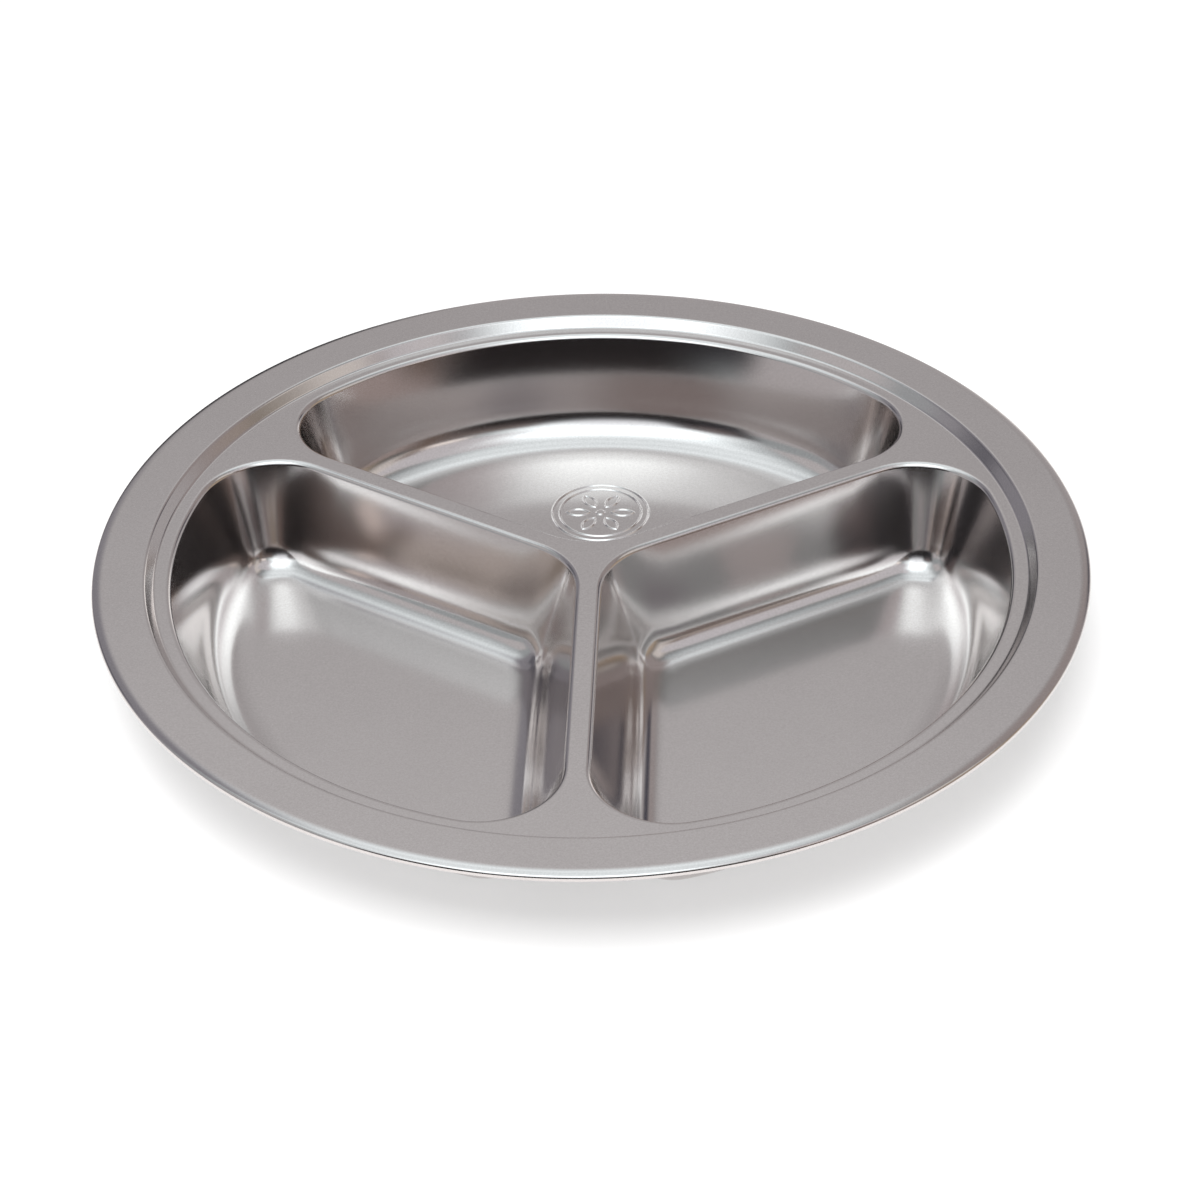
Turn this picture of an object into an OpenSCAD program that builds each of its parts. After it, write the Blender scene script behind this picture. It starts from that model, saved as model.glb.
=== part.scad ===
// Round dinner plate with three compartments, pressed from one sheet of stainless steel.
// Millimetres. The origin is on the plate's axis, at the level that the plate stands on.
// One leg of the divider runs along -Y, and the compartment opposite to it is the back one.
// Each formed zone of the sheet is a solid of its own, and the zones meet face to face.

/* [Sheet] */
// Diameter over the rolled edge
plate_d = 240; // [160:1:360]
// Thickness of the sheet
sheet_t = 0.6; // [0.4:0.05:0.8]

/* [Rim] */
// Outside radius of the rolled edge
roll_r = 1.5; // [1:0.1:4]
// How far round the edge is rolled, in degrees
roll_turn = 265; // [190:5:300]
// Width of the flat flange, from the roll to the step
flange_w = 10.5; // [4:0.5:20]
// Height of the step from the flange down to the ledge
step_h = 2.7; // [1.4:0.1:8]
// Slope of the step from level, in degrees
step_slope = 52; // [35:1:75]
// Upper radius of the bend at the head of the step
step_crest_r = 1.2; // [0.9:0.1:2]
// Upper radius of the bend at the foot of the step
step_foot_r = 1; // [0.5:0.1:2]

/* [Ledge and divider] */
// Width of the flat ledge between the step and the compartments
ledge_w = 2.1; // [1:0.1:12]
// Width of the flat top of each leg of the divider
divider_w = 3.4; // [2:0.1:16]

/* [Compartments] */
// Depth of a compartment, from the ledge to its floor
well_depth = 27; // [12:0.5:45]
// Upper radius of the bend at the mouth of a compartment
mouth_r = 1.6; // [0.9:0.1:4]
// How far the walls lean out from upright, in degrees
wall_draft = 18; // [5:1:30]
// Radius of the fillet between a wall and the floor
fillet_r = 7; // [2:0.5:12]
// Radius of the floor's corner at the hub
hub_corner_r = 6.4; // [1:0.2:15]
// Radius of the floor's two corners at the rim
rim_corner_r = 4.4; // [1:0.2:12]

/* [Rosette] */
// Diameter over the rosette's outer ring
rosette_d = 26; // [12:1:40]
// How far the rosette lies outwards from the middle of the largest circle that fits the floor
rosette_place = 1; // [-6:0.5:6]
// Number of petals
petal_count = 6; // [3:1:8]
// Width of a petal
petal_w = 3.6; // [2.4:0.1:5]
// Distance from the rosette's middle to the petals
petal_start_r = 2.4; // [1.8:0.1:4]
// Width of the raised lines
line_w = 0.8; // [0.4:0.1:1.5]
// Height of the raised lines above the floor
line_h = 0.3; // [0.1:0.05:0.6]
// Gap between the two rings, and between the rings and the petals
line_gap = 1.1; // [0.5:0.1:2]

/* [Hidden] */
$fn = 96;
steel = [0.66, 0.64, 0.63];
bright_steel = [0.72, 0.71, 0.70];
// Directions of the back, left and right compartments, seen from above
well_turns = [90, 210, 330];
half_sector = 180 / len(well_turns);

// Run and drop of a wall's three stretches: the mouth's bend, the straight wall, the fillet
wall_slope = 90 - wall_draft;
mouth_run = mouth_r * sin(wall_slope);
fillet_run = fillet_r * sin(wall_slope);
wall_drop = well_depth - (mouth_r + fillet_r) * (1 - cos(wall_slope));
wall_length = wall_drop / sin(wall_slope);
well_run = mouth_run + wall_length * cos(wall_slope) + fillet_run;

// The same for the step: the crest's bend, a straight stretch, the foot's bend
step_drop = step_h - (step_crest_r + step_foot_r) * (1 - cos(step_slope));
step_length = step_drop / sin(step_slope);
step_run = (step_crest_r + step_foot_r) * sin(step_slope) + step_length * cos(step_slope);

// Radii of the rim's zones, from the outside in
roll_middle_r = plate_d / 2 - roll_r;
flange_in_r = roll_middle_r - flange_w;
ledge_out_r = flange_in_r - step_run;
mouth_out_r = ledge_out_r - ledge_w;

// Levels of the sheet's upper side
floor_z = sheet_t;
ledge_z = floor_z + well_depth;
rim_z = ledge_z + step_h;

// Corner radii of a compartment's mouth
mouth_hub_r = hub_corner_r + well_run;
mouth_rim_r = rim_corner_r + well_run;

// Middles of the corners of a compartment that faces +X, and the length of its straight sides
side_turn = half_sector + 90;
hub_middle = [(divider_w / 2 + mouth_hub_r) / sin(half_sector), 0];
rim_reach = mouth_out_r - mouth_rim_r;
rim_turn = half_sector - asin((divider_w / 2 + mouth_rim_r) / rim_reach);
rim_middle = rim_reach * heading(rim_turn);
side_length = norm(rim_middle - hub_middle + (mouth_rim_r - mouth_hub_r) * heading(side_turn));

// Middle of the largest circle that fits the floor, from the plate's axis
floor_middle = (mouth_out_r + divider_w / 2) / (1 + sin(half_sector));

// Hairline between the stretches of a wall, each of which is a plain sweep of one section
seam = 0.002;
// How far an outline's corner arcs are drawn past the sides they join, so that they cross cleanly
snug = 0.004;

function heading(a) = [cos(a), sin(a)];
function flipped(p) = [p[0], -p[1]];

// Points of a pie slice that reaches past radius r, from angle a to angle b
function slice(r, a, b, steps = 6) =
  concat([[0, 0]], [for (i = [0 : steps]) 2 * r * heading(a + (b - a) * i / steps)]);

// Sheet bent round a corner, from angle a to angle b
module bend(outer_r, a, b) {
  intersection() {
    difference() {
      circle(outer_r);
      circle(outer_r - sheet_t);
    }
    polygon(slice(outer_r, a, b));
  }
}

// Section of sheet that heads towards -X, bends down by slope, runs straight and bends level again.
// Its upper side starts at the origin. It is drawn along the straight stretch, then turned.
module fold(head_r, foot_r, straight, slope) {
  translate(-head_r * [sin(slope), 1 - cos(slope)]) rotate(180 + slope) {
    translate([0, head_r]) bend(head_r, -90 - slope, -90);
    square([straight, sheet_t]);
    translate([straight, -foot_r]) bend(foot_r + sheet_t, 90 - slope, 90);
  }
}

module wall_section() {
  fold(mouth_r, fillet_r, wall_length, wall_slope);
}

// Wall section carried round a corner of radius r, from angle a to angle b
module wall_turn(r, a, b) {
  rotate(a) rotate_extrude(angle = b - a) translate([r, 0]) wall_section();
}

// The whole wall of a compartment that faces +X, with its mouth at z = 0
module well_wall() {
  arc_turn = rim_turn - atan2(seam, mouth_out_r);
  wall_turn(mouth_out_r, -arc_turn, arc_turn);
  translate(hub_middle) wall_turn(mouth_hub_r, side_turn, 360 - side_turn);
  for (m = [0, 1]) mirror([0, m, 0]) {
    translate(rim_middle) wall_turn(mouth_rim_r, rim_turn, side_turn);
    translate(hub_middle) rotate(side_turn) translate([mouth_hub_r, -seam, 0])
      rotate([90, 0, 0]) linear_extrude(side_length - 2 * seam) wall_section();
  }
}

// Outline of a compartment that faces +X, drawn in by inset from its mouth
module well_outline(inset = 0) {
  hub_r = mouth_hub_r - inset;
  rim_r = mouth_rim_r - inset;
  reach = mouth_out_r - inset;
  half = [hub_middle + hub_r * heading(side_turn), rim_middle + rim_r * heading(side_turn),
          rim_middle, 2 * reach * heading(rim_turn)];
  intersection() {
    circle(reach);
    polygon(concat(half, [for (i = [3 : -1 : 0]) flipped(half[i])]));
  }
  translate(hub_middle) circle(hub_r + snug);
  translate(rim_middle) circle(rim_r + snug);
  translate(flipped(rim_middle)) circle(rim_r + snug);
}

module well_floor() {
  linear_extrude(sheet_t) well_outline(well_run);
}

module rolled_edge() {
  color(bright_steel) rotate_extrude()
    translate([roll_middle_r, rim_z - roll_r]) bend(roll_r, 90 - roll_turn, 90);
}

module rim_flange() {
  color(steel) rotate_extrude()
    translate([flange_in_r, rim_z - sheet_t]) square([flange_w, sheet_t]);
}

module rim_step() {
  color(bright_steel) rotate_extrude()
    translate([flange_in_r, rim_z]) fold(step_crest_r, step_foot_r, step_length, step_slope);
}

module ledge_and_divider() {
  color(steel) translate([0, 0, ledge_z - sheet_t]) linear_extrude(sheet_t) difference() {
    circle(ledge_out_r);
    for (turn = well_turns) rotate(turn) well_outline();
  }
}

module back_well_wall() { color(steel) translate([0, 0, ledge_z]) rotate(well_turns[0]) well_wall(); }
module left_well_wall() { color(steel) translate([0, 0, ledge_z]) rotate(well_turns[1]) well_wall(); }
module right_well_wall() { color(steel) translate([0, 0, ledge_z]) rotate(well_turns[2]) well_wall(); }
module back_well_floor() { color(steel) rotate(well_turns[0]) well_floor(); }
module left_well_floor() { color(steel) rotate(well_turns[1]) well_floor(); }
module right_well_floor() { color(steel) rotate(well_turns[2]) well_floor(); }

// Raised line along the edge of a circle of radius r
module ring(r) {
  difference() {
    circle(r);
    circle(r - line_w);
  }
}

// Pointed petal of length long and width wide, with its middle at the origin and its tips on the X axis
module petal(long, wide) {
  bow_r = (long * long + wide * wide) / (4 * wide);
  intersection_for(side = [-1, 1]) translate([0, side * (bow_r - wide / 2)]) circle(bow_r);
}

module floor_rosette() {
  outer_r = rosette_d / 2;
  inner_r = outer_r - line_w - line_gap;
  petal_l = inner_r - line_w - line_gap - petal_start_r;
  color(bright_steel) rotate(well_turns[0]) translate([floor_middle + rosette_place, 0, floor_z]) linear_extrude(line_h) {
    ring(outer_r);
    ring(inner_r);
    circle(petal_start_r - line_gap);
    for (i = [0 : petal_count - 1]) rotate(360 * i / petal_count)
      translate([petal_start_r + petal_l / 2, 0]) difference() {
        petal(petal_l, petal_w);
        petal(petal_l - 2 * line_w * petal_l / petal_w, petal_w - 2 * line_w);
      }
  }
}

rolled_edge();
rim_flange();
rim_step();
ledge_and_divider();
back_well_wall();
left_well_wall();
right_well_wall();
back_well_floor();
left_well_floor();
right_well_floor();
floor_rosette();
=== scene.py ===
import math

import bpy
import numpy as np
from mathutils import Matrix, Vector


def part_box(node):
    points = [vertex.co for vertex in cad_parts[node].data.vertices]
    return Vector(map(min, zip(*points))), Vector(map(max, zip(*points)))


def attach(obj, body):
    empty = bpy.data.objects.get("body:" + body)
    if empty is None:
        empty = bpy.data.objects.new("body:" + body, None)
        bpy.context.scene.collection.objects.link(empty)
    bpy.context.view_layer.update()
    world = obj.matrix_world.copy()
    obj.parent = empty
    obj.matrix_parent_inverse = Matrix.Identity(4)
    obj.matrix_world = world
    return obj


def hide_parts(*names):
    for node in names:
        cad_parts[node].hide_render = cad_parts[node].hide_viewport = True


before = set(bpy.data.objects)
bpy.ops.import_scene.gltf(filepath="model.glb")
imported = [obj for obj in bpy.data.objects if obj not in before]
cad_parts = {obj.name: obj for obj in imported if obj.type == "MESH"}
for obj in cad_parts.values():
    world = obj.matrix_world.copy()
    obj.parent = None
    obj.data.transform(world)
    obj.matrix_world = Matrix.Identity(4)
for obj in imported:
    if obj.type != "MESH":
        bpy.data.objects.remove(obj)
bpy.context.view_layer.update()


# The sheet. The whole plate is one blank of satin stainless steel, 0.6 mm thick, rolled at the mill
# to a fine dull grain and pressed to shape between steel dies. Every zone below is cut from it.
mm = 0.001
flange_low, flange_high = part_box("rim_flange")
sheet_t = flange_high[2] - flange_low[2]
steel_light = "#E0DAD8"
steel_dark = "#C6C0BE"
steel_rough = 0.14
steel_rough_spread = 0.015
# The real grain is a few hundredths of a millimetre wide. That is too fine to show in the picture, so
# it is drawn as coarse as it needs to show.
grain_width = 0.45 * mm
grain_depth = 0.0009 * mm
# The clouds are as wide as the marks that the pressing leaves, and weigh a fifth against the grain.
cloud_width = 22 * mm
cloud_share = 0.2
noise_detail = 2.0


def linear(colour):
    """An sRGB hex colour as linear red, green, blue and alpha: (c + 0.055) / 1.055 to the power 2.4, or
    c / 12.92 for the darkest values."""
    c = np.array([int(colour[i:i + 2], 16) for i in (1, 3, 5)]) / 255
    return (*np.where(c <= 0.04045, c / 12.92, ((c + 0.055) / 1.055) ** 2.4), 1.0)


def add(tree, kind, links=(), **settings):
    """Adds a node. A setting is a property of the node or, failing that, the value of the input of that
    name, with _ for each space. A link is (input, node, output), by name or by number."""
    node = tree.nodes.new(kind)
    for name, value in settings.items():
        if hasattr(node, name):
            setattr(node, name, value)
        else:
            node.inputs[name.replace("_", " ")].default_value = value
    for name, source, output in links:
        tree.links.new(source.outputs[output], node.inputs[name])
    return node


def satin_stainless_steel():
    """Cold-rolled 18-8 stainless with a satin mill finish, then pressed. The eye gets a slightly warm
    grey metal whose reflections are plain but soft-edged, with a fine speckle from the grain and very
    slight clouds left by the die."""
    steel = bpy.data.materials.new("satin_stainless_steel")
    steel.use_nodes = True
    tree = steel.node_tree
    tree.nodes.clear()
    place = add(tree, "ShaderNodeTexCoord")
    grain = add(tree, "ShaderNodeTexNoise", [("Vector", place, "Object")],
                Scale=1 / grain_width, Detail=noise_detail)
    clouds = add(tree, "ShaderNodeTexNoise", [("Vector", place, "Object")],
                 Scale=1 / cloud_width, Detail=noise_detail)
    # A Mix node has its two plain numbers at inputs 2 and 3, and its two colours at 6 and 7.
    share = add(tree, "ShaderNodeMix", [(2, grain, "Fac"), (3, clouds, "Fac")], Factor=cloud_share)
    tone = add(tree, "ShaderNodeMix", [("Factor", share, 0)], data_type="RGBA")
    tone.inputs[6].default_value = linear(steel_dark)
    tone.inputs[7].default_value = linear(steel_light)
    rough = add(tree, "ShaderNodeMapRange", [("Value", grain, "Fac")],
                To_Min=steel_rough - steel_rough_spread, To_Max=steel_rough + steel_rough_spread)
    bump = add(tree, "ShaderNodeBump", [("Height", grain, "Fac")], Strength=1.0, Distance=grain_depth)
    shader = add(tree, "ShaderNodeBsdfPrincipled",
                 [("Base Color", tone, 2), ("Roughness", rough, "Result"), ("Normal", bump, "Normal")],
                 Metallic=1.0)
    add(tree, "ShaderNodeOutputMaterial", [("Surface", shader, "BSDF")])
    return steel


steel = satin_stainless_steel()


# The rolled edge. The blank's rim is curled outwards and under into a bead by a rolling tool, so that
# no sharp edge is left. It takes in about three quarters of a turn and ends just under the flange. The
# tool also draws the flange's margin down a little, so that the sheet falls away before it curls.
plate_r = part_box("rolled_edge")[1][0]
rim_z = flange_high[2]
flange_out_r = flange_high[0]
roll_r = 0.9 * mm
roll_turn = math.radians(265)
bead_steps = 60
droop_r = 7 * mm
droop_turn = math.radians(18)
droop_start_r = plate_r - roll_r - (droop_r - roll_r) * math.sin(droop_turn)
droop_split = math.asin((flange_out_r - droop_start_r) / droop_r)
outer_droop_steps = 4
round_steps = 360
# Points closer than this become one. The other length is what a face with no area counts as having.
merge_distance = 0.0001 * mm
least_length = 1e-20


def bend(middle, r, start, end, steps):
    """Sheet bent round a corner: its upper side as an arc of radius r about middle, from angle start to
    angle end in the plane of radius and height. Returns points and upper-side normals. A negative r is
    a hollow bend."""
    a = np.linspace(start, end, steps + 1)
    ray = np.stack([np.cos(a), np.sin(a)], 1)
    return np.array(middle) + abs(r) * ray, np.sign(r) * ray


def droop(start, end, steps):
    """Part of the fall that leads from the flange into the bead, from one tilt to another."""
    top = math.pi / 2
    return bend((droop_start_r, rim_z - droop_r), droop_r, top - start, top - end, steps)


def joined(*stretches):
    """Stretches of (points, normals) one after the other, each without the point that it shares with the
    one before."""
    points = [stretches[0][0]] + [p[1:] for p, n in stretches[1:]]
    normals = [stretches[0][1]] + [n[1:] for p, n in stretches[1:]]
    return np.concatenate(points), np.concatenate(normals)


def both_sides(line):
    """The closed section of the sheet: the upper side as given, then the lower side one thickness down
    its normals and back again. Returns points, normals and which edges of the loop are the sheet's cut
    ends."""
    p, n = line
    cut = np.zeros(2 * len(p), bool)
    cut[[len(p) - 1, -1]] = True
    return np.concatenate([p, (p - sheet_t * n)[::-1]]), np.concatenate([n, -n[::-1]]), cut


def carried(section, path, outward, facing=None):
    """A section carried round a path. Its first number runs along the path's outward direction and its
    second is height, so a point is path + outward * first. A normal turns with the facing directions, or
    with the outward ones where none are given. The section is the same all round, or has a row for each
    point of the path."""
    p, n = [np.broadcast_to(v, (len(path),) + v.shape[-2:]) for v in section]
    facing = outward if facing is None else facing
    points = np.concatenate([path[:, None] + outward[:, None] * p[..., :1], p[..., 1:]], 2)
    return points, np.concatenate([facing[:, None] * n[..., :1], n[..., 1:]], 2)


def faces_of(points, normals, cut, gone=False):
    """The faces of a grid of points and normals, where u runs round the path and v round the section,
    both closed. Returns the points in a row, each face's four corners and the normal at each corner: the
    true surface's own, or the face's on a cut end. Faces that are gone are left out."""
    u, v = points.shape[:2]
    i, j = np.meshgrid(np.arange(u), np.arange(v), indexing="ij")

    def corner(along, around):
        return ((i + along) % u) * v + (j + around) % v

    kept = ~np.broadcast_to(gone, i.shape).reshape(-1)
    quads = np.stack([corner(0, 0), corner(0, 1), corner(1, 1), corner(1, 0)], 2).reshape(-1, 4)[kept]
    ends = np.broadcast_to(cut, i.shape).reshape(-1)[kept]
    flat = points.reshape(-1, 3)
    shade = normals.reshape(-1, 3)[quads]
    across = np.cross(flat[quads[:, 2]] - flat[quads[:, 0]], flat[quads[:, 3]] - flat[quads[:, 1]])
    across /= np.maximum(np.linalg.norm(across, axis=1, keepdims=True), least_length)
    if (across * shade.mean(1)).sum(1)[~ends].sum() < 0:
        quads, shade, across = quads[:, ::-1], shade[:, ::-1], -across
    shade[ends] = across[ends][:, None]
    return flat, quads, shade


def sheet_piece(name, node, *grids):
    """One mesh from the faces of its grids, with points that coincide merged, so that seams and poles are
    closed. Its corners keep the normals that they come with, so that neighbouring zones shade as one
    sheet. It stands for a zone of the frame and rides on the plate."""
    parts = [faces_of(*grid) for grid in grids]
    starts = np.cumsum([0] + [len(flat) for flat, _, _ in parts])
    flat = np.concatenate([flat for flat, _, _ in parts])
    quads = np.concatenate([quads + start for (_, quads, _), start in zip(parts, starts)])
    shade = np.concatenate([shade for _, _, shade in parts])
    places = np.round(flat / merge_distance)
    _, first, merged = np.unique(places, axis=0, return_index=True, return_inverse=True)
    quads = merged.reshape(-1)[quads]
    kept = quads != np.roll(quads, -1, axis=1)
    kept[kept.sum(1) < 3] = False
    counts = kept.sum(1)
    counts = counts[counts > 0]
    loop_starts = np.cumsum(counts) - counts
    mesh = bpy.data.meshes.new(name)
    mesh.vertices.add(len(first))
    mesh.vertices.foreach_set("co", flat[first].astype(np.float32).ravel())
    mesh.loops.add(int(kept.sum()))
    mesh.loops.foreach_set("vertex_index", quads[kept].astype(np.int32))
    mesh.polygons.add(len(counts))
    mesh.polygons.foreach_set("loop_start", loop_starts.astype(np.int32))
    mesh.polygons.foreach_set("loop_total", counts.astype(np.int32))
    mesh.update(calc_edges=True)
    mesh.polygons.foreach_set("use_smooth", np.ones(len(counts), bool))
    mesh.validate()
    mesh.normals_split_custom_set(shade[kept])
    mesh.materials.append(steel)
    piece = bpy.data.objects.new(name, mesh)
    bpy.context.scene.collection.objects.link(piece)
    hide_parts(node)
    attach(piece, "root")
    return piece


def turned(name, node, line):
    """A zone of the rim: its section carried round the plate's axis."""
    p, n, cut = both_sides(line)
    a = np.linspace(0, 2 * math.pi, round_steps, endpoint=False)
    outward = np.stack([np.cos(a), np.sin(a)], 1)
    return sheet_piece(name, node, (*carried((p, n), np.zeros_like(outward), outward), cut))


bead_middle = (plate_r - roll_r, rim_z - droop_r + (droop_r - roll_r) * math.cos(droop_turn))
bead = bend(bead_middle, roll_r, math.pi / 2 - droop_turn, math.pi / 2 - roll_turn, bead_steps)
turned("rolled_bead", "rolled_edge", joined(droop(droop_split, droop_turn, outer_droop_steps), bead))


# The flange. A ring round the plate to carry it by, ironed flat between the dies, with the start of
# the fall towards the rolled edge at its outer side.
step_out_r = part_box("rim_step")[1][0]
flange_steps = 4
inner_droop_steps = 10


def level(start, end, height, steps):
    """A flat stretch from one radius to another."""
    r = np.linspace(start, end, steps + 1)
    return np.stack([r, np.full(steps + 1, height)], 1), np.tile([0.0, 1.0], (steps + 1, 1))


flange = level(step_out_r, droop_start_r, rim_z, flange_steps)
turned("flat_flange", "rim_flange", joined(flange, droop(0, droop_split, inner_droop_steps)))


# The step. A short slope inside the flange that stiffens the rim and lets a lid or the next plate
# seat on the ledge below. It is drawn by the die with a small bend at its head and its foot.
step_in_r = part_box("ledge_and_divider")[1][0]
ledge_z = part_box("ledge_and_divider")[1][2]
step_slope = math.radians(52)
step_crest_r = 1.2 * mm
step_foot_r = 1.0 * mm
step_bend_steps = 16


def fold(start, end, head_r, foot_r, slope, steps):
    """Sheet that comes in level at start, bends down by slope, runs straight and bends level again at
    end. Each bend is an arc, and one straight stretch joins the two."""
    top, foot = math.pi / 2, -math.pi / 2
    head = bend((start[0], start[1] - head_r), head_r, top, top + slope, steps)
    hollow = bend((end[0], end[1] + foot_r), -foot_r, foot + slope, foot, steps)
    return np.concatenate([head[0], hollow[0]]), np.concatenate([head[1], hollow[1]])


step = fold((step_out_r, rim_z), (step_in_r, ledge_z), step_crest_r, step_foot_r, step_slope,
            step_bend_steps)
turned("stiffening_step", "rim_step", step)


# The ledge and the divider. What is left of the flat blank between the three compartments: a narrow
# ring, and three legs that meet in the middle. All of it lies level, 27 mm above the floors.
mouth_out_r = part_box("back_well_wall")[1][1]
well_turns = {"back": math.radians(90), "left": math.radians(210), "right": math.radians(330)}
half_sector = math.pi / len(well_turns)
divider_w = 3.4 * mm
hub_mouth_r = 21.42 * mm
rim_mouth_r = 19.42 * mm
hub_middle = np.array([(divider_w / 2 + hub_mouth_r) / math.sin(half_sector), 0])
rim_reach = mouth_out_r - rim_mouth_r
rim_turn = half_sector - math.asin((divider_w / 2 + rim_mouth_r) / rim_reach)
rim_middle = rim_reach * np.array([math.cos(rim_turn), math.sin(rim_turn)])
side_turn = half_sector + math.pi / 2
# Steps along a mouth's outline. A rim corner has two stretches, before and after the sector's tip.
outer_steps = 36
rim_corner_steps = (12, 30)
side_steps = 16
hub_steps = 18
# A rate or a length too small to count
slight = 1e-9


def heading(a):
    """Unit vectors at the angles a."""
    return np.stack([np.cos(a), np.sin(a)], -1)


def arc(middle, r, start, end, steps):
    """Points on an arc, middle + r * heading, and their outward directions."""
    ray = heading(np.linspace(start, end, steps + 1))
    return middle + r * ray, ray


def corner_turn():
    """The direction, from the middle of a rim corner, of the point where the sector's side meets the
    ledge's rim."""
    tip = step_in_r * heading(np.array(half_sector)) - rim_middle
    return math.atan2(tip[1], tip[0])


def mouth_outline():
    """The outline of the compartment that faces +X, as a closed path with outward normals: half of it
    runs from the middle of the outer arc round a rim corner and down a straight side to the hub corner,
    and the rest mirrors it."""
    before, after = rim_corner_steps
    out = heading(np.array(side_turn))
    outer = arc(np.zeros(2), mouth_out_r, 0, rim_turn, outer_steps)
    corner = joined(arc(rim_middle, rim_mouth_r, rim_turn, corner_turn(), before),
                    arc(rim_middle, rim_mouth_r, corner_turn(), side_turn, after))
    head, foot = rim_middle + rim_mouth_r * out, hub_middle + hub_mouth_r * out
    share = np.linspace(0, 1, side_steps + 1)[:, None]
    side = head + share * (foot - head), np.tile(out, (side_steps + 1, 1))
    hub = arc(hub_middle, hub_mouth_r, side_turn, math.pi, hub_steps)
    p, n = joined(outer, corner, side, hub)
    flip = np.array([1, -1])
    return np.concatenate([p, p[-2:0:-1] * flip]), np.concatenate([n, n[-2:0:-1] * flip])


mouth, mouth_out = mouth_outline()


def turn_by(a, v):
    """Vectors turned about the plate's axis, their first two numbers only."""
    c, s = math.cos(a), math.sin(a)
    return np.concatenate([v[..., :2] @ np.array([[c, s], [-s, c]]), v[..., 2:]], -1)


def sector_edge():
    """For each point of a mouth's outline, the point straight outwards from it on the edge of the 120
    degree sector that holds the compartment: a side of the sector, or the ledge's outer circle, whichever
    comes first. The lower half is worked out as the mirror image of the upper one."""
    flip = np.stack([np.ones(len(mouth)), np.where(mouth[:, 1] < 0, -1, 1)], 1)
    up = mouth * flip
    out = mouth_out * flip
    upper = heading(np.array(half_sector))
    across = np.array([-upper[1], upper[0]])
    rate = out @ across
    to_side = np.where(rate > slight, -(up @ across) / np.maximum(rate, slight), np.inf)
    along = (up * out).sum(1)
    to_rim = -along + np.sqrt(along ** 2 + step_in_r ** 2 - (up ** 2).sum(1))
    far = up + out * np.minimum(to_side, to_rim)[:, None]
    return far * flip, to_rim <= to_side + slight


def ledge_sector(turn):
    """One sector of flat sheet, between a mouth and the sector's edge. It is closed below and along the
    ledge's rim, and open along its two sides, where the next sectors go on."""
    edge, on_rim = sector_edge()
    up, down = np.array([0, 0, 1.0]), np.array([0, 0, -1.0])
    corners = [(mouth, ledge_z), (edge, ledge_z), (edge, ledge_z - sheet_t), (mouth, ledge_z - sheet_t)]
    points = np.stack([np.column_stack([p, np.full(len(p), z)]) for p, z in corners], 1)
    normals = np.broadcast_to(np.stack([up, up, down, down]), points.shape)
    gone = np.zeros(points.shape[:2], bool)
    gone[:, 1] = ~(on_rim & np.roll(on_rim, -1))
    return turn_by(turn, points), normals, np.array([False, True, False, True]), gone


sheet_piece("ledge_and_legs", "ledge_and_divider", *[ledge_sector(turn) for turn in well_turns.values()])


# The compartments' walls. Each is drawn down from the ledge in one stroke, leaning out by about 20
# degrees so that the punch comes free, with a tight bend at the mouth. The sheet stretches as it is
# drawn, so a wall hollows a little and runs out softly into the floor, most of all along the rim.
floor_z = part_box("back_well_floor")[1][2]
mouth_r = 1.6 * mm
foot_stretch = 1.5
# Slope at a wall's head and at its foot, in degrees, and the radius of its foot
wall_shapes = {"outer arc": (67.5, 73.5, 10.0 * mm), "rim corner": (71.0, 71.0, 7.8 * mm),
               "side": (67.8, 71.8, 7.5 * mm), "hub corner": (69.3, 70.5, 8.3 * mm)}
wall_steps = 28
# Lengths of outline over which one shape passes over into the next
outer_fade = 20 * mm
side_fade = 8 * mm
half_hub_fade = 4 * mm
polish_width = 5 * mm
# Length from each point of the mouth's outline to the next, and how far along it each point lies
gaps = np.linalg.norm(np.roll(mouth, -1, 0) - mouth, axis=1)
outline_length = gaps.sum()
outline_at = np.cumsum(gaps) - gaps


def eased(x, low, high):
    """0 below low, 1 above high, and a smooth step between: three t squared less two t cubed."""
    t = np.clip((x - low) / (high - low), 0, 1)
    return t * t * (3 - 2 * t)


def drawn_line(head, foot, foot_r):
    """Upper side of a drawn wall, given by the slope along its length. It bends over the mouth on an even
    radius up to the head's slope, changes evenly to the foot's slope, and levels out by a smooth step,
    half as long again as an even bend of the foot's radius. Between the two bends it is as long as its
    drop asks for."""
    head, foot = math.radians(head), math.radians(foot)
    t = np.linspace(0, 1, wall_steps + 1)
    stretches = [head * t, head + (foot - head) * t, foot * (1 - eased(t, 0, 1))]
    lengths = np.array([mouth_r * head, 0, foot_stretch * foot_r * foot])
    middles = np.array([(a[1:] + a[:-1]) / 2 for a in stretches])
    fall = np.sin(middles).mean(1)
    lengths[1] = (ledge_z - floor_z - lengths @ fall) / fall[1]
    ways = np.stack([np.cos(middles), np.sin(middles)], 2)
    steps = (-lengths[:, None, None] / wall_steps * ways).reshape(-1, 2)
    slope = np.concatenate([stretches[0]] + [a[1:] for a in stretches[1:]])
    points = np.concatenate([np.zeros((1, 2)), np.cumsum(steps, 0)]) + [0, ledge_z]
    return points, np.stack([-np.sin(slope), np.cos(slope)], 1)


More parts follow.
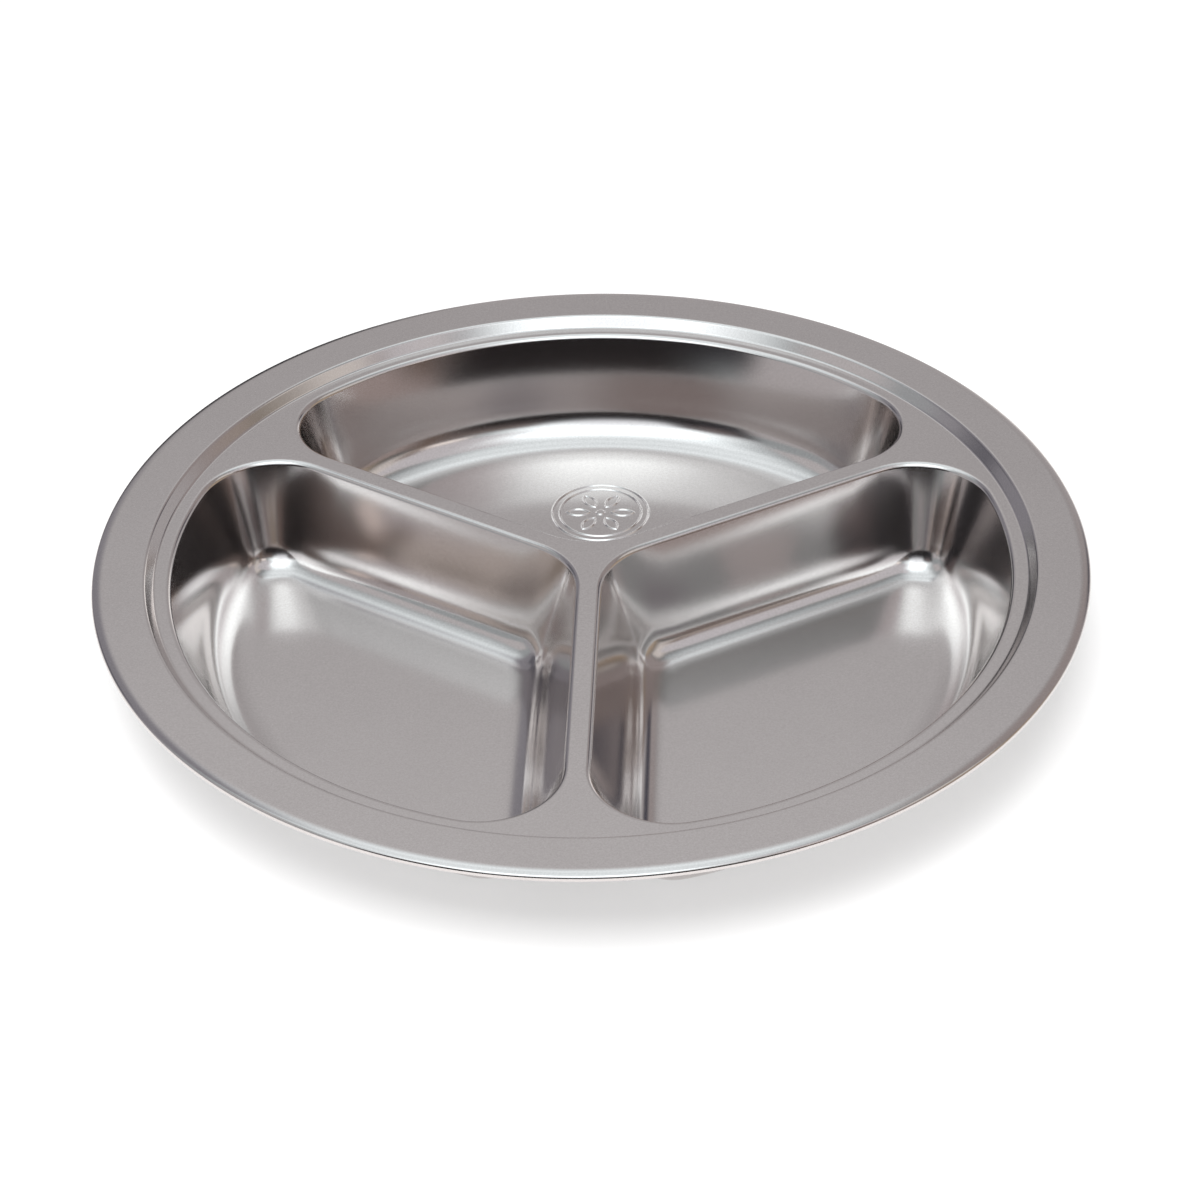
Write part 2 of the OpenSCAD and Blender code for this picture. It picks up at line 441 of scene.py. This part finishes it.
def shape_shares():
    """How much of each wall shape there is at each point of the mouth's outline, by the point's distance
    along it from the middle of the outer arc. The shapes pass over into each other by smooth steps."""
    way = np.minimum(outline_at, outline_length - outline_at)
    arc_end = mouth_out_r * rim_turn
    corner_end = arc_end + rim_mouth_r * (side_turn - rim_turn)
    hub_start = outline_length / 2 - hub_mouth_r * (math.pi - side_turn)
    outer = 1 - eased(way, arc_end - outer_fade, arc_end)
    hub = eased(way, hub_start - half_hub_fade, hub_start + half_hub_fade)
    side = eased(way, corner_end, corner_end + side_fade) * (1 - hub)
    return np.stack([outer, 1 - outer - side - hub, side, hub])


def polished(directions):
    """Directions along the outline, each averaged with its neighbours under a bell curve of the polish's
    width, as the die's corners are rubbed over into the straights."""
    away = np.abs(outline_at[:, None] - outline_at[None])
    away = np.minimum(away, outline_length - away)
    mixed = (np.exp(-0.5 * (away / polish_width) ** 2) * (gaps + np.roll(gaps, 1))) @ directions
    return mixed / np.linalg.norm(mixed, axis=1, keepdims=True)


shares = shape_shares()[..., None, None]
lines = [both_sides(drawn_line(*shape)) for shape in wall_shapes.values()]
wall_points = (shares * np.array([points for points, _, _ in lines])[:, None]).sum(0)
wall_normals = (shares * np.array([normals for _, normals, _ in lines])[:, None]).sum(0)
wall_normals /= np.linalg.norm(wall_normals, axis=2, keepdims=True)
wall_cut = lines[0][2]
p, n = carried((wall_points, wall_normals), mouth, mouth_out, polished(mouth_out))
for side, turn in well_turns.items():
    sheet_piece(f"{side}_drawn_wall", f"{side}_well_wall", (turn_by(turn, p), turn_by(turn, n), wall_cut))


# The floors. Flat, level with each other, and what the plate stands on. The back one is stamped with
# a rosette, and its panel is a round piece of its own in the middle of that floor.
wall_reach = wall_points[:, :, 0].min(1)
floor_line = mouth + wall_reach[:, None] * mouth_out
floor_rings = 12
rosette_low, rosette_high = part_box("floor_rosette")
rosette_r = (rosette_high[0] - rosette_low[0]) / 2
rosette_y = (rosette_high[1] + rosette_low[1]) / 2
panel_margin = 0.6 * mm
panel_r = rosette_r + panel_margin


def flat_floor(side, turn, middle, hole_r):
    """A flat floor as rings that shrink from the outline towards a middle, down to a point or to a round
    hole there. The upper side's rings run outwards and the lower side's run back."""
    away = floor_line - middle
    inner = middle + hole_r * away / np.linalg.norm(away, axis=1, keepdims=True)
    share = np.linspace(0, 1, floor_rings + 1)
    rings = inner[:, None] + share[None, :, None] * (floor_line - inner)[:, None]
    height = np.ones(rings.shape[:2] + (1,))
    top = np.concatenate([rings, floor_z * height], 2)
    low = np.concatenate([rings[:, ::-1], (floor_z - sheet_t) * height], 2)
    points = np.concatenate([top, low], 1)
    normals = np.zeros_like(points)
    normals[:, :floor_rings + 1, 2] = 1
    normals[:, floor_rings + 1:, 2] = -1
    cut = np.zeros(points.shape[1], bool)
    cut[[floor_rings, -1]] = True
    grid = turn_by(turn, points), turn_by(turn, normals), cut
    return sheet_piece(f"{side}_flat_floor", f"{side}_well_floor", grid)


# The back compartment is the one that faces +X turned by a quarter, so its Y is that one's X.
for side, turn in well_turns.items():
    flat_floor(side, turn, np.array([rosette_y, 0]), panel_r if side == "back" else 0)


# The rosette. Two rings, six pointed petals and a dot, raised by 0.3 mm from below with a small
# stamp, so that each line is a low round-backed ridge above and a groove underneath.
rosette_h = rosette_high[2] - rosette_low[2]
line_w = 0.8 * mm
line_gap = 1.1 * mm
petal_count = 6
petal_w = 3.6 * mm
petal_start_r = 2.4 * mm
panel_spokes = 432
panel_rings = 133
# The lower side has one ring for three of the upper side's.
low_ring_step = 3
slope_reach = 0.01 * mm


def ridge(distance):
    """Height of a ridge, as a share, at a distance from its middle line: a half wave of the cosine."""
    return 0.5 + 0.5 * np.cos(np.pi * np.clip(np.abs(distance) / (line_w / 2), 0, 1))


def stamped_height(x, y):
    """Height of the stamped panel at x and y from the rosette's middle: the highest of all its lines. A
    petal's outline is two arcs that meet in points on its own axis."""
    r, a = np.hypot(x, y), np.arctan2(y, x)
    inner_r = rosette_r - line_w - line_gap
    petal_l = inner_r - line_w - line_gap - petal_start_r
    part = 2 * np.pi / petal_count
    a = (a + part / 2) % part - part / 2
    px, py = r * np.cos(a) - petal_start_r - petal_l / 2, np.abs(r * np.sin(a))
    bow_r = (petal_l ** 2 + petal_w ** 2) / (4 * petal_w)
    inside = bow_r - np.hypot(px, py + bow_r - petal_w / 2)
    dot_r = petal_start_r - line_gap
    dot = np.where(r < dot_r - line_w / 2, 1, ridge(r - dot_r + line_w / 2))
    return rosette_h * np.max([ridge(r - rosette_r + line_w / 2), ridge(r - inner_r + line_w / 2),
                               ridge(inside - line_w / 2), dot], 0)


def stamped_panel():
    """The round panel as rings about the rosette's middle, its upper side lifted by the stamp, its lower
    side as far below. Its normals come from the height's slope."""
    a = np.linspace(0, 2 * np.pi, panel_spokes, endpoint=False)[:, None]
    r = np.linspace(0, panel_r, panel_rings)[None]
    x, y = r * np.cos(a), r * np.sin(a)
    d = slope_reach
    slope_x = (stamped_height(x + d, y) - stamped_height(x - d, y)) / (2 * d)
    slope_y = (stamped_height(x, y + d) - stamped_height(x, y - d)) / (2 * d)
    top = np.stack([x, y + rosette_y, floor_z + stamped_height(x, y)], 2)
    up = np.stack([-slope_x, -slope_y, np.ones_like(x)], 2)
    up /= np.linalg.norm(up, axis=2, keepdims=True)
    low = top[:, ::-low_ring_step] - np.array([0, 0, sheet_t])
    down = -up[:, ::-low_ring_step]
    cut = np.zeros(panel_rings + low.shape[1], bool)
    cut[panel_rings - 1] = True
    return sheet_piece("stamped_rosette", "floor_rosette",
                       (np.concatenate([top, low], 1), np.concatenate([up, down], 1), cut))


stamped_panel()


# The table. A matt white top that runs on past the picture. The lamp lights it only to a pale grey, so
# that the plate's shadow shows, and it is topped up to full white for the eye and for reflections.
table_size = 30.0
table_colour = "#B3B3B3"
table_lift = 0.49


def studio_material(name):
    """An empty material for the table or the tent."""
    made = bpy.data.materials.new(name)
    made.use_nodes = True
    made.node_tree.nodes.clear()
    return made


def table_top():
    """A flat square with white paint, whose own glow shows only in the rays that the picture is made of."""
    paint = studio_material("white_table")
    tree = paint.node_tree
    matt = add(tree, "ShaderNodeBsdfDiffuse", Color=linear(table_colour))
    seen = add(tree, "ShaderNodeLightPath")
    either = add(tree, "ShaderNodeMath", [(0, seen, "Is Camera Ray"), (1, seen, "Is Glossy Ray")],
                 operation="MAXIMUM")
    any_of = add(tree, "ShaderNodeMath", [(0, either, 0), (1, seen, "Is Transmission Ray")],
                 operation="MAXIMUM")
    lift = add(tree, "ShaderNodeMath", [(0, any_of, 0)], operation="MULTIPLY")
    lift.inputs[1].default_value = table_lift
    glow = add(tree, "ShaderNodeEmission", [("Strength", lift, 0)])
    both = add(tree, "ShaderNodeAddShader", [(0, matt, 0), (1, glow, 0)])
    add(tree, "ShaderNodeOutputMaterial", [("Surface", both, 0)])
    mesh = bpy.data.meshes.new("table_top")
    h = table_size / 2
    mesh.from_pydata([(-h, -h, 0), (h, -h, 0), (h, h, 0), (-h, h, 0)], [], [(0, 1, 2, 3)])
    mesh.materials.append(paint)
    table = bpy.data.objects.new("table_top", mesh)
    bpy.context.scene.collection.objects.link(table)


table_top()


# The room. Full white level with the plate, falling to a mid grey higher up, and the same all the way
# round. A stop is a height, as the sine of the angle above level, and the tone there.
room_stops = [(0.0, 1.0), (0.25, 1.0), (0.42, 0.62), (1.0, 0.62)]


def pale_room():
    """The room as the world's light, by the height of the direction that it comes from."""
    world = bpy.data.worlds.new("pale_room")
    bpy.context.scene.world = world
    world.use_nodes = True
    tree = world.node_tree
    tree.nodes.clear()
    way = add(tree, "ShaderNodeTexCoord")
    parts = add(tree, "ShaderNodeSeparateXYZ", [("Vector", way, "Generated")])
    ramp = add(tree, "ShaderNodeValToRGB", [("Fac", parts, "Z")])
    elements = ramp.color_ramp.elements
    while len(elements) < len(room_stops):
        elements.new(0.5)
    for element, (place, tone) in zip(elements, room_stops):
        element.position = place
        element.color = (tone, tone, tone, 1)
    back = add(tree, "ShaderNodeBackground", [("Color", ramp, "Color")], Strength=1.0)
    add(tree, "ShaderNodeOutputWorld", [("Surface", back, 0)])


pale_room()


# The lamp. One wide soft box hangs over the front of the table. It lights the table and makes the
# plate's shadow, and the metal shows the tent's own bright panels in its place.
lamp_level = 17.0
lamp_size = 0.6
lamp_way = (-0.06, -0.45, 0.89)
lamp_distance = 1.25


def soft_box():
    """A square area lamp that faces the plate. Its power is its level times pi times its area."""
    lamp = bpy.data.lights.new("soft_box", "AREA")
    lamp.shape = "RECTANGLE"
    lamp.size, lamp.size_y = lamp_size, lamp_size
    lamp.energy = lamp_level * math.pi * lamp.size * lamp.size_y
    box = bpy.data.objects.new("soft_box", lamp)
    bpy.context.scene.collection.objects.link(box)
    away = Vector(lamp_way).normalized()
    box.location = away * lamp_distance
    box.rotation_euler = away.to_track_quat("Z", "Y").to_euler()
    box.visible_glossy = False


soft_box()


# The tent. Half a ball of cloth round the table, which only the metal sees. A place in it is a rise, in
# degrees from level in front over the top to level behind, and a turn to the left, less than 0, or to
# the right. Its ridge has a brightness for each rise, and its two sides are dim.
tent_r = 3.0
tent_points = 181
ridge_rises = [0, 30, 42, 50, 60, 68, 76, 84, 92, 100,
               108, 116, 124, 132, 139, 144, 151, 166, 180]
ridge_levels = [0.3, 0.0, 2.15, 2.3, 1.6, 1.25, 1.17, 1.4, 1.16, 1.32,
                1.15, 1.4, 0.95, 0.64, 0.62, 0.54, 0.46, 0.6, 0.2]
ridge_front_colour, ridge_back_colour = "#F0FBFF", "#FDFDFF"
ridge_colour_change = (118, 134)
left_level, left_turns = 0.47, (-47, -20)
right_level, right_turns = 0.10, (2, 40)
# Each panel lies over those listed before it: its lowest and highest rise, its leftmost and rightmost
# turn, the softness of its edge, its brightness and its colour.
panels = [
    ("low_left_wall", -20, 30, -100, -40, 4, 0.55, "#FFFCFE"),
    ("low_right_wall", -20, 39, 42, 100, 6, 0.40, "#FFECE8"),
    ("blue_left_behind", 110, 190, -70, -20, 7, 0.32, "#F4F3FF"),
    ("warm_right_behind", 112, 190, 16, 65, 7, 0.38, "#FFF3F2"),
    ("left_side_light", 55, 87, -60, -42, 3, 0.61, "#FFFDFF"),
    ("right_side_light", 50, 108, 34, 59, 7, 0.78, "#FFFAF5"),
    ("right_middle_light", 52, 88, 13, 46, 3, 0.72, "#FBFAFF"),
    ("right_lower_light", 44, 51, 32, 49, 3, 1.38, "#FFF7F2"),
    ("far_left_wall", 37, 190, -100, -64, 5, 0.46, "#F8F8FF"),
    ("far_right_wall", 39, 190, 63, 100, 8, 0.49, "#FFE9CF"),
    ("bright_light", 54, 75, -19, 15, 13, 3.1, "#EDFBFF"),
    ("window_over_curtain", 28, 49, -20, 8, 10, 1.35, "#F3F9FF"),
    ("left_flag", 10, 43, -43, -20, 4, 0.035, "#E8EAFF"),
    ("right_flag", 13, 41, 15, 54, 4, 0.23, "#FFECE6"),
    ("left_curtain_hem", 31, 48, -37, -24, 8, 0.20, "#FFEBEC"),
    ("right_curtain_hem", 13, 62, 44, 49, 3, 0.19, "#FFDCC8"),
    ("black_curtain", -20, 31, -28, 41, 12, 0.014, "#FFE8F0"),
    ("white_board_behind", 151, 190, -20, 70, 14, 0.49, "#FFFCFE"),
    ("dim_card_behind", 128, 154, -62, -42, 4, 0.17, "#EDEEFF"),
    ("dark_card_behind", 146, 157, 26, 41, 3, 0.08, "#D8DAFF"),
    ("black_card_behind", 162, 190, -36, -10, 4, 0.06, "#F4F4FF"),
    ("white_card_behind", 166, 190, 17, 30, 4, 1.3, "#FFFDFB"),
]


def tent_glow(rise, turn):
    """The tent's light at each rise and turn: the ridge, its two dim sides, then the panels one over
    another, each with a share that eases from 0 to 1 across its edges."""
    left = 1 - eased(turn, *left_turns)
    right = eased(turn, *right_turns)
    level = np.interp(rise, ridge_rises, ridge_levels)
    level = (level * (1 - left) + left_level * left) * (1 - right) + right_level * right
    front, back = [np.array(linear(colour)[:3]) for colour in (ridge_front_colour, ridge_back_colour)]
    glow = level[..., None] * (front + eased(rise, *ridge_colour_change)[..., None] * (back - front))
    for _, low, high, start, end, soft, strength, colour in panels:
        share = eased(rise, low - soft, low + soft) * (1 - eased(rise, high - soft, high + soft))
        share = share * eased(turn, start - soft, start + soft) * (1 - eased(turn, end - soft, end + soft))
        glow += share[..., None] * (strength * np.array(linear(colour)[:3]) - glow)
    return glow


def tent():
    """Half a ball over the table as a grid of rise and turn. Each of its points carries its light as an
    attribute."""
    rise, turn = np.meshgrid(np.linspace(0, 180, tent_points), np.linspace(-90, 90, tent_points),
                             indexing="ij")
    u, v = np.radians(rise), np.radians(turn)
    points = tent_r * np.stack([np.sin(v), -np.cos(v) * np.cos(u), np.cos(v) * np.sin(u)], 2)
    i, j = np.meshgrid(np.arange(tent_points - 1), np.arange(tent_points - 1), indexing="ij")
    k = i * tent_points + j
    faces = np.stack([k, k + 1, k + tent_points + 1, k + tent_points], 2).reshape(-1, 4)
    mesh = bpy.data.meshes.new("tent")
    mesh.from_pydata(points.reshape(-1, 3).tolist(), [], faces.tolist())
    light = np.concatenate([tent_glow(rise, turn), np.ones((tent_points, tent_points, 1))], 2)
    glow = mesh.attributes.new("glow", "FLOAT_COLOR", "POINT")
    glow.data.foreach_set("color", light.ravel())
    cloth = studio_material("tent_cloth")
    tree = cloth.node_tree
    stored = add(tree, "ShaderNodeAttribute", attribute_name="glow")
    shine = add(tree, "ShaderNodeEmission", [("Color", stored, "Color")], Strength=1.0)
    add(tree, "ShaderNodeOutputMaterial", [("Surface", shine, 0)])
    cloth.cycles.emission_sampling = "NONE"
    mesh.materials.append(cloth)
    made = bpy.data.objects.new("tent", mesh)
    bpy.context.scene.collection.objects.link(made)
    for rays in ("camera", "diffuse", "shadow", "transmission", "volume_scatter"):
        setattr(made, f"visible_{rays}", False)


tent()


# The camera. It stands in front of the plate, a little to the right, and looks down on it at about 37
# degrees through a long lens. Its yaw, pitch and roll are those of a camera held by hand.
camera_at = (0.0314, -0.6099, 0.4638)
camera_lens = 93.97
camera_sensor = 36.0
yaw, pitch, roll = math.radians(0.04), math.radians(0.71), math.radians(-1.44)
aim_height = 4.3 * mm


def studio_camera():
    """A camera that looks at the plate's axis, turned a little in yaw, pitch and roll."""
    data = bpy.data.cameras.new("camera")
    data.lens, data.sensor_width = camera_lens, camera_sensor
    camera = bpy.data.objects.new("camera", data)
    bpy.context.scene.collection.objects.link(camera)
    at = np.array(camera_at)
    ahead = np.array([0, 0, aim_height]) - at
    ahead /= np.linalg.norm(ahead)
    right = np.cross(ahead, [0, 0, 1])
    right /= np.linalg.norm(right)
    up = np.cross(right, ahead)
    ahead = ahead + right * yaw + up * pitch
    ahead /= np.linalg.norm(ahead)
    right = np.cross(ahead, up)
    right /= np.linalg.norm(right)
    up = np.cross(right, ahead)
    side = math.cos(roll) * right + math.sin(roll) * up
    top = -math.sin(roll) * right + math.cos(roll) * up
    turn = np.eye(4)
    turn[:3] = np.stack([side, top, -ahead, at], 1)
    camera.matrix_world = Matrix(turn.tolist())
    bpy.context.scene.camera = camera


studio_camera()
bpy.context.scene.view_settings.view_transform = "Standard"
